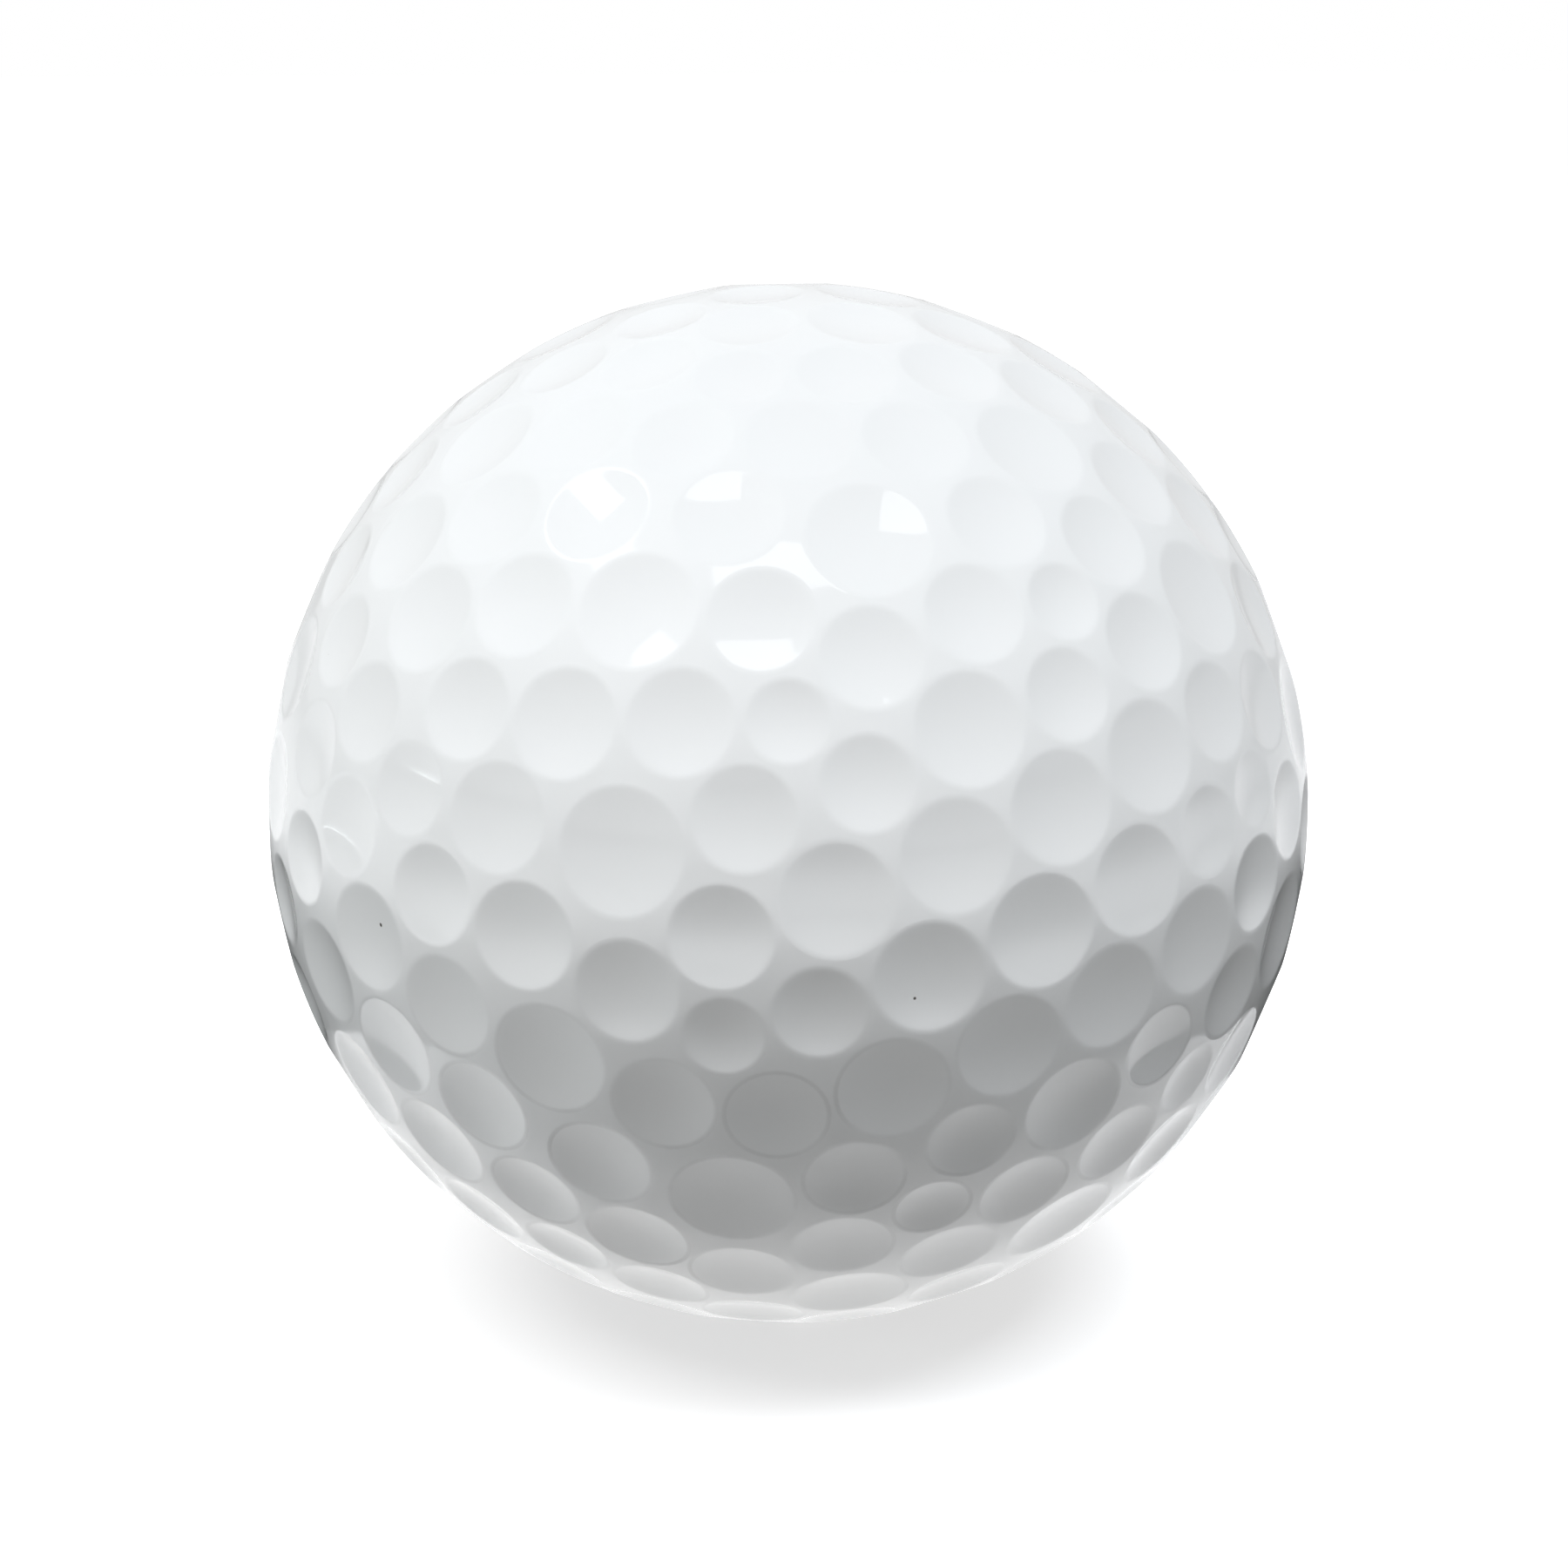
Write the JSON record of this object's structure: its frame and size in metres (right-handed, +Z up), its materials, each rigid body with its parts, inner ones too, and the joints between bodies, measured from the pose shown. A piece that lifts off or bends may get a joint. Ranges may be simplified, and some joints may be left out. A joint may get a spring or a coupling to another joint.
{
  "type": "golf ball",
  "caption": "White dimpled golf ball: a glossy moulded cover in two halves over a mantle and a rubber core, for play off a tee or the ground.",
  "frame": {"origin": "centre of the ball", "axes": "+Z up as the ball lies in the picture, -Y out of the front pole of the dimple pattern, so that the parting plane is the XZ plane"},
  "size_m": [0.0426, 0.0424, 0.0426],
  "materials": {
    "inner_rubber": "matt moulded rubber",
    "outer_rubber": "matt moulded rubber",
    "mantle_resin": "satin moulded resin",
    "coated_white": "white with a glossy clear coat"
  },
  "bodies": {
    "root": {"inner_core": "inner_rubber", "outer_core_front_half": "outer_rubber", "outer_core_back_half": "outer_rubber", "mantle_front_half": "mantle_resin", "mantle_back_half": "mantle_resin", "cover_front_half": "coated_white", "cover_back_half": "coated_white"}
  },
  "joints": []
}
